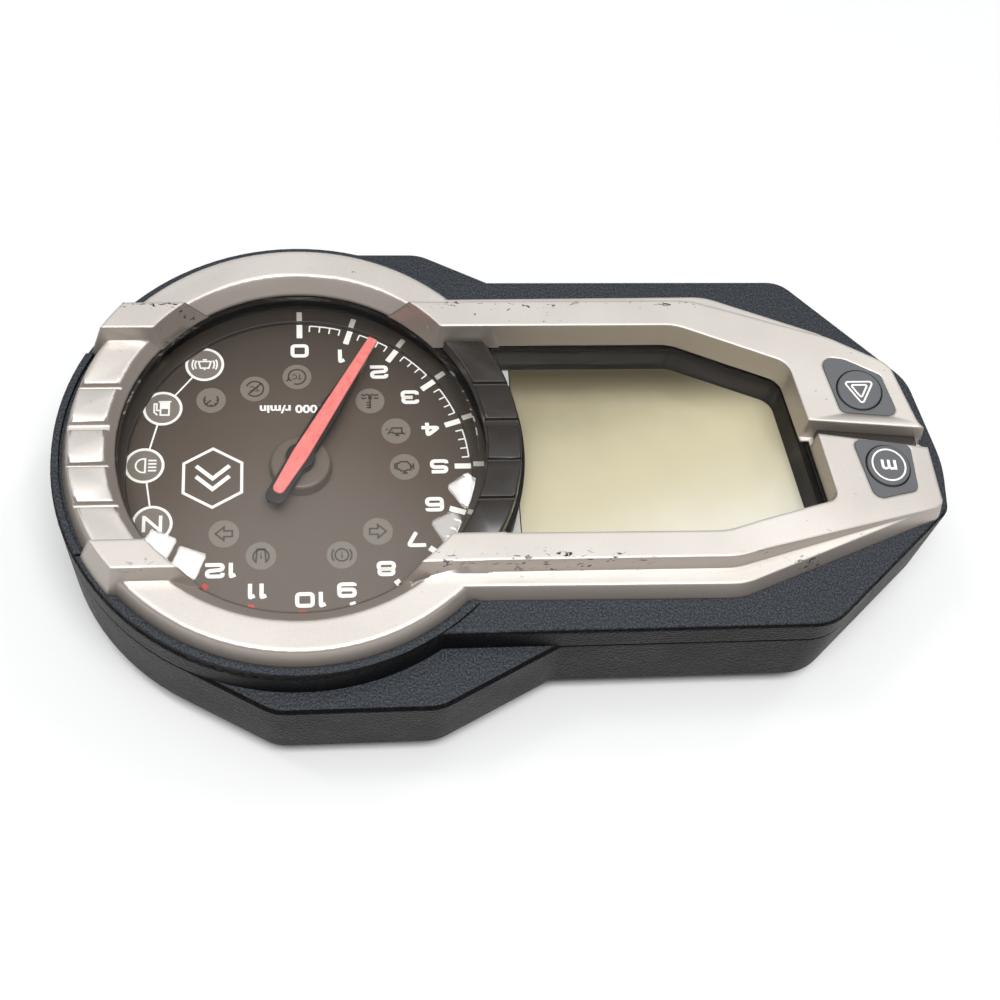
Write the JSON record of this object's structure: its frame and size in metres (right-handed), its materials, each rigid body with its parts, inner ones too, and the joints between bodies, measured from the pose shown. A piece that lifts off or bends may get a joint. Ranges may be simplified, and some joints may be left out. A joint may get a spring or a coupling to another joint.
{
  "type": "motorcycle instrument cluster",
  "caption": "Motorcycle instrument cluster: round needle rev counter beside a display window, with two push buttons in the nose, silver bezel and black case.",
  "frame": {"origin": "middle of the mounting side, at the level of the mounting posts' ends", "axes": "+X to the reader's right along the long side, +Y up the face, +Z out of the face to the reader"},
  "size_m": [0.2106, 0.123, 0.0487],
  "materials": {
    "case_plastic": "leather-grain moulded ABS",
    "silver_paint": "satin metallic paint on moulded ABS",
    "gloss_black": "gloss moulded ABS",
    "clear_plastic": "clear moulded polycarbonate",
    "dial_print": "screen-printed polycarbonate sheet",
    "white_plastic": "white moulded ABS",
    "needle_red": "translucent red acrylic",
    "needle_black": "moulded black acetal",
    "button_rubber": "moulded silicone rubber",
    "seal_rubber": "moulded EPDM",
    "board_green": "solder-masked glass fibre board",
    "chip_black": "moulded epoxy",
    "lamp_white": "LED package",
    "display_glass": "reflective liquid crystal glass",
    "steel": "zinc-plated steel",
    "brass": "knurled brass",
    "copper": "enamelled copper winding"
  },
  "bodies": {
    "case": {"rear_housing": "case_plastic", "front_case": "case_plastic", "front_bezel": "silver_paint", "divider_trim": "gloss_black", "split_trim": "gloss_black", "display_mask": "gloss_black", "clear_lens": "clear_plastic", "lens_seal": "seal_rubber", "housing_seal": "seal_rubber", "dial_plate": "dial_print", "chapter_ring": "dial_print", "dial_shroud": "gloss_black", "dial_boss": "dial_print", "dial_diffuser": "white_plastic", "light_box": "white_plastic", "telltale_leds": "lamp_white", "dial_leds": "lamp_white", "motor_case": "chip_black", "motor_coils": "copper", "display_frame": "white_plastic", "display_glass": "display_glass", "display_backlight": "white_plastic", "display_strips": "seal_rubber", "display_leds": "lamp_white", "hazard_pad": "button_rubber", "menu_pad": "button_rubber", "hazard_switch": "chip_black", "menu_switch": "chip_black", "switch_board": "board_green", "switch_ribbon": "white_plastic", "ribbon_socket": "white_plastic", "circuit_board": "board_green", "board_chips": "chip_black", "connector_shell": "chip_black", "connector_pins": "brass", "breather_vent": "chip_black", "mount_inserts": "brass", "case_screws": "steel", "board_screws": "steel"},
    "needle": {"needle_blade": "needle_red", "needle_carrier": "needle_black", "motor_shaft": "steel", "motor_wheel": "white_plastic"},
    "hazard_key": {"hazard_button": "button_rubber", "hazard_plunger": "white_plastic"},
    "menu_key": {"menu_button": "button_rubber", "menu_plunger": "white_plastic"}
  },
  "joints": [
    {"name": "needle_turn", "type": "hinge", "parent": "case", "child": "needle", "pos_m": [0.04861, 0, 0.035], "axis": [0, 0, -1], "range_deg": [-30, 190]},
    {"name": "hazard_press", "type": "slide", "parent": "case", "child": "hazard_key", "axis": [0, 0, -1], "range_m": [0, 0.0008], "stiffness_N_per_m": 1500},
    {"name": "menu_press", "type": "slide", "parent": "case", "child": "menu_key", "axis": [0, 0, -1], "range_m": [0, 0.0008], "stiffness_N_per_m": 1500}
  ]
}
